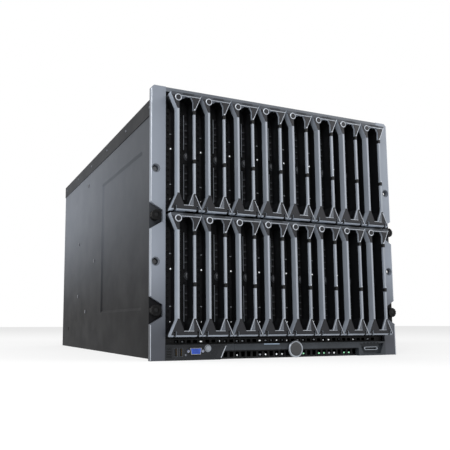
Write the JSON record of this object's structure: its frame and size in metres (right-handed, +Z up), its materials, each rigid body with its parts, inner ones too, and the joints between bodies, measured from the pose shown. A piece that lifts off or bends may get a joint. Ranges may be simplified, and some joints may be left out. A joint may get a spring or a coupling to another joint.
{
  "type": "blade server chassis",
  "caption": "Rack-mounted enclosure with two rows of sliding blades behind full-height swing handles, rack ears, a control strip and rear power, fan and I/O modules.",
  "frame": {"origin": "centre of the footprint at floor level, handles included", "axes": "+X to the right seen from the front, -Y out of the front face, +Z up"},
  "size_m": [0.4826, 0.7774, 0.44],
  "materials": {
    "enclosure": "satin charcoal powder coat",
    "ears": "satin blue-grey paint",
    "trim": "satin grey paint",
    "cage": "matt black coated sheet",
    "board": "solder mask",
    "blade": "satin dark grey sheet",
    "handle": "satin blue-grey paint",
    "bezel": "satin moulded",
    "ports": "moulded",
    "badge": "satin",
    "button": "satin",
    "knob": "satin black",
    "screws": "zinc",
    "modules": "satin sheet"
  },
  "bodies": {
    "chassis": {"base_pan": "enclosure", "left_side_panel": "enclosure", "right_side_panel": "enclosure", "top_cover": "enclosure", "left_rack_ear": "ears", "right_rack_ear": "ears", "top_trim": "trim", "card_cage": "cage", "midplane": "board", "intake_grille": "cage", "lower_bezel": "bezel", "badge_disc": "badge", "control_panel": "bezel", "console_ports": "ports", "case_screws": "screws", "rear_frame": "enclosure", "power_supplies": "modules", "fan_housings": "modules", "fan_rotors": "modules", "io_modules": "modules", "controllers": "modules"},
    "power_button": {"power_button": "button"},
    "display": {"display_tray": "bezel", "display_module": "bezel"},
    "thumbscrew_upper_left": {"thumbscrew_upper_left": "knob"},
    "thumbscrew_upper_right": {"thumbscrew_upper_right": "knob"},
    "thumbscrew_lower_left": {"thumbscrew_lower_left": "knob"},
    "thumbscrew_lower_right": {"thumbscrew_lower_right": "knob"},
    "blade_upper_1": {"blade_upper_1": "blade"},
    "handle_upper_1": {"handle_upper_1": "handle"},
    "blade_upper_2": {"blade_upper_2": "blade"},
    "handle_upper_2": {"handle_upper_2": "handle"},
    "blade_upper_3": {"blade_upper_3": "blade"},
    "handle_upper_3": {"handle_upper_3": "handle"},
    "blade_upper_4": {"blade_upper_4": "blade"},
    "handle_upper_4": {"handle_upper_4": "handle"},
    "blade_upper_5": {"blade_upper_5": "blade"},
    "handle_upper_5": {"handle_upper_5": "handle"},
    "blade_upper_6": {"blade_upper_6": "blade"},
    "handle_upper_6": {"handle_upper_6": "handle"},
    "blade_upper_7": {"blade_upper_7": "blade"},
    "handle_upper_7": {"handle_upper_7": "handle"},
    "blade_upper_8": {"blade_upper_8": "blade"},
    "handle_upper_8": {"handle_upper_8": "handle"},
    "blade_lower_1": {"blade_lower_1": "blade"},
    "handle_lower_1": {"handle_lower_1": "handle"},
    "blade_lower_2": {"blade_lower_2": "blade"},
    "handle_lower_2": {"handle_lower_2": "handle"},
    "blade_lower_3": {"blade_lower_3": "blade"},
    "handle_lower_3": {"handle_lower_3": "handle"},
    "blade_lower_4": {"blade_lower_4": "blade"},
    "handle_lower_4": {"handle_lower_4": "handle"},
    "blade_lower_5": {"blade_lower_5": "blade"},
    "handle_lower_5": {"handle_lower_5": "handle"},
    "blade_lower_6": {"blade_lower_6": "blade"},
    "handle_lower_6": {"handle_lower_6": "handle"},
    "blade_lower_7": {"blade_lower_7": "blade"},
    "handle_lower_7": {"handle_lower_7": "handle"},
    "blade_lower_8": {"blade_lower_8": "blade"},
    "handle_lower_8": {"handle_lower_8": "handle"}
  },
  "joints": [
    {"name": "blade_upper_1_slide", "type": "slide", "parent": "chassis", "child": "blade_upper_1", "axis": [0, -1, 0], "range_m": [0, 0.4]},
    {"name": "handle_upper_1_swing", "type": "hinge", "parent": "blade_upper_1", "child": "handle_upper_1", "pos_m": [-0.189, -0.38275, 0.237], "axis": [1, 0, 0], "range_deg": [0, 35]},
    {"name": "blade_upper_2_slide", "type": "slide", "parent": "chassis", "child": "blade_upper_2", "axis": [0, -1, 0], "range_m": [0, 0.4]},
    {"name": "handle_upper_2_swing", "type": "hinge", "parent": "blade_upper_2", "child": "handle_upper_2", "pos_m": [-0.135, -0.38275, 0.237], "axis": [1, 0, 0], "range_deg": [0, 35]},
    {"name": "blade_upper_3_slide", "type": "slide", "parent": "chassis", "child": "blade_upper_3", "axis": [0, -1, 0], "range_m": [0, 0.4]},
    {"name": "handle_upper_3_swing", "type": "hinge", "parent": "blade_upper_3", "child": "handle_upper_3", "pos_m": [-0.081, -0.38275, 0.237], "axis": [1, 0, 0], "range_deg": [0, 35]},
    {"name": "blade_upper_4_slide", "type": "slide", "parent": "chassis", "child": "blade_upper_4", "axis": [0, -1, 0], "range_m": [0, 0.4]},
    {"name": "handle_upper_4_swing", "type": "hinge", "parent": "blade_upper_4", "child": "handle_upper_4", "pos_m": [-0.027, -0.38275, 0.237], "axis": [1, 0, 0], "range_deg": [0, 35]},
    {"name": "blade_upper_5_slide", "type": "slide", "parent": "chassis", "child": "blade_upper_5", "axis": [0, -1, 0], "range_m": [0, 0.4]},
    {"name": "handle_upper_5_swing", "type": "hinge", "parent": "blade_upper_5", "child": "handle_upper_5", "pos_m": [0.027, -0.38275, 0.237], "axis": [1, 0, 0], "range_deg": [0, 35]},
    {"name": "blade_upper_6_slide", "type": "slide", "parent": "chassis", "child": "blade_upper_6", "axis": [0, -1, 0], "range_m": [0, 0.4]},
    {"name": "handle_upper_6_swing", "type": "hinge", "parent": "blade_upper_6", "child": "handle_upper_6", "pos_m": [0.081, -0.38275, 0.237], "axis": [1, 0, 0], "range_deg": [0, 35]},
    {"name": "blade_upper_7_slide", "type": "slide", "parent": "chassis", "child": "blade_upper_7", "axis": [0, -1, 0], "range_m": [0, 0.4]},
    {"name": "handle_upper_7_swing", "type": "hinge", "parent": "blade_upper_7", "child": "handle_upper_7", "pos_m": [0.135, -0.38275, 0.237], "axis": [1, 0, 0], "range_deg": [0, 35]},
    {"name": "blade_upper_8_slide", "type": "slide", "parent": "chassis", "child": "blade_upper_8", "axis": [0, -1, 0], "range_m": [0, 0.4]},
    {"name": "handle_upper_8_swing", "type": "hinge", "parent": "blade_upper_8", "child": "handle_upper_8", "pos_m": [0.189, -0.38275, 0.237], "axis": [1, 0, 0], "range_deg": [0, 35]},
    {"name": "blade_lower_1_slide", "type": "slide", "parent": "chassis", "child": "blade_lower_1", "axis": [0, -1, 0], "range_m": [0, 0.4]},
    {"name": "handle_lower_1_swing", "type": "hinge", "parent": "blade_lower_1", "child": "handle_lower_1", "pos_m": [-0.189, -0.38275, 0.041], "axis": [1, 0, 0], "range_deg": [0, 35]},
    {"name": "blade_lower_2_slide", "type": "slide", "parent": "chassis", "child": "blade_lower_2", "axis": [0, -1, 0], "range_m": [0, 0.4]},
    {"name": "handle_lower_2_swing", "type": "hinge", "parent": "blade_lower_2", "child": "handle_lower_2", "pos_m": [-0.135, -0.38275, 0.041], "axis": [1, 0, 0], "range_deg": [0, 35]},
    {"name": "blade_lower_3_slide", "type": "slide", "parent": "chassis", "child": "blade_lower_3", "axis": [0, -1, 0], "range_m": [0, 0.4]},
    {"name": "handle_lower_3_swing", "type": "hinge", "parent": "blade_lower_3", "child": "handle_lower_3", "pos_m": [-0.081, -0.38275, 0.041], "axis": [1, 0, 0], "range_deg": [0, 35]},
    {"name": "blade_lower_4_slide", "type": "slide", "parent": "chassis", "child": "blade_lower_4", "axis": [0, -1, 0], "range_m": [0, 0.4]},
    {"name": "handle_lower_4_swing", "type": "hinge", "parent": "blade_lower_4", "child": "handle_lower_4", "pos_m": [-0.027, -0.38275, 0.041], "axis": [1, 0, 0], "range_deg": [0, 35]},
    {"name": "blade_lower_5_slide", "type": "slide", "parent": "chassis", "child": "blade_lower_5", "axis": [0, -1, 0], "range_m": [0, 0.4]},
    {"name": "handle_lower_5_swing", "type": "hinge", "parent": "blade_lower_5", "child": "handle_lower_5", "pos_m": [0.027, -0.38275, 0.041], "axis": [1, 0, 0], "range_deg": [0, 35]},
    {"name": "blade_lower_6_slide", "type": "slide", "parent": "chassis", "child": "blade_lower_6", "axis": [0, -1, 0], "range_m": [0, 0.4]},
    {"name": "handle_lower_6_swing", "type": "hinge", "parent": "blade_lower_6", "child": "handle_lower_6", "pos_m": [0.081, -0.38275, 0.041], "axis": [1, 0, 0], "range_deg": [0, 35]},
    {"name": "blade_lower_7_slide", "type": "slide", "parent": "chassis", "child": "blade_lower_7", "axis": [0, -1, 0], "range_m": [0, 0.4]},
    {"name": "handle_lower_7_swing", "type": "hinge", "parent": "blade_lower_7", "child": "handle_lower_7", "pos_m": [0.135, -0.38275, 0.041], "axis": [1, 0, 0], "range_deg": [0, 35]},
    {"name": "blade_lower_8_slide", "type": "slide", "parent": "chassis", "child": "blade_lower_8", "axis": [0, -1, 0], "range_m": [0, 0.4]},
    {"name": "handle_lower_8_swing", "type": "hinge", "parent": "blade_lower_8", "child": "handle_lower_8", "pos_m": [0.189, -0.38275, 0.041], "axis": [1, 0, 0], "range_deg": [0, 35]},
    {"name": "power_button_press", "type": "slide", "parent": "chassis", "child": "power_button", "axis": [0, 1, 0], "range_m": [0, 0.0015], "stiffness_N_per_m": 400},
    {"name": "display_slide", "type": "slide", "parent": "chassis", "child": "display", "axis": [0, -1, 0], "range_m": [0, 0.09]},
    {"name": "thumbscrew_upper_left_turn", "type": "hinge", "parent": "chassis", "child": "thumbscrew_upper_left", "pos_m": [-0.23255, -0.35925, 0.22642], "axis": [0, -1, 0], "continuous": true},
    {"name": "thumbscrew_upper_right_turn", "type": "hinge", "parent": "chassis", "child": "thumbscrew_upper_right", "pos_m": [0.23255, -0.35925, 0.22642], "axis": [0, -1, 0], "continuous": true},
    {"name": "thumbscrew_lower_left_turn", "type": "hinge", "parent": "chassis", "child": "thumbscrew_lower_left", "pos_m": [-0.23255, -0.35925, 0.0772], "axis": [0, -1, 0], "continuous": true},
    {"name": "thumbscrew_lower_right_turn", "type": "hinge", "parent": "chassis", "child": "thumbscrew_lower_right", "pos_m": [0.23255, -0.35925, 0.0772], "axis": [0, -1, 0], "continuous": true}
  ]
}
